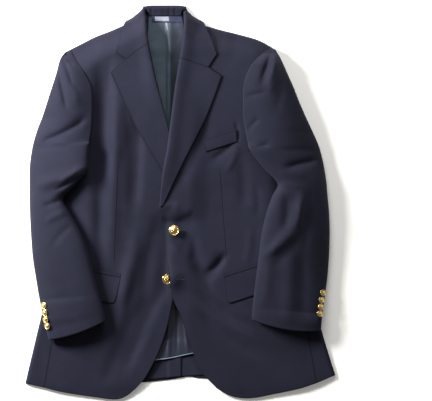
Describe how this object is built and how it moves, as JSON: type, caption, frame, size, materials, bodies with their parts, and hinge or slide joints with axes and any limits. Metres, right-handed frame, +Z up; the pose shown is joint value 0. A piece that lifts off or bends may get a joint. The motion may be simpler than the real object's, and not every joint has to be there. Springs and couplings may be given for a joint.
{
  "type": "single-breasted blazer",
  "caption": "Single-breasted notch-lapel blazer laid flat, with flap pockets, breast welt, gilt shank buttons and open neck, cuffs and hem.",
  "frame": {"origin": "centre of the overall box, on the surface that the blazer lies on", "axes": "+Z up out of the fronts, +Y from the hem towards the collar, +X towards the wearer's left side"},
  "size_m": [0.6426, 0.8151, 0.0603],
  "materials": {
    "wool": "dark navy fine wool twill, matt",
    "lining": "dark slate satin lining, soft sheen",
    "label": "woven satin label, blank",
    "gilt": "gilt metal, polished rim over a finely lined ground"
  },
  "bodies": {
    "root": {"back_right": "wool", "back_left": "wool", "vent_underlap": "wool", "hem_right": "wool", "hem_left": "wool", "lining_back": "lining", "label": "label", "side_right": "wool", "side_left": "wool", "front_right": "wool", "front_left": "wool", "button_top": "gilt", "button_low": "gilt", "lapel_right": "wool", "lapel_left": "wool", "collar_leaf_right": "wool", "collar_leaf_left": "wool", "collar_back": "wool", "flap_right": "wool", "flap_left": "wool", "jet_right": "wool", "jet_left": "wool", "breast_welt": "wool", "topsleeve_right": "wool", "topsleeve_left": "wool", "undersleeve_right": "wool", "undersleeve_left": "wool", "cuff_button_right_1": "gilt", "cuff_button_right_2": "gilt", "cuff_button_right_3": "gilt", "cuff_button_right_4": "gilt", "cuff_button_left_1": "gilt", "cuff_button_left_2": "gilt", "cuff_button_left_3": "gilt", "cuff_button_left_4": "gilt"}
  },
  "joints": []
}
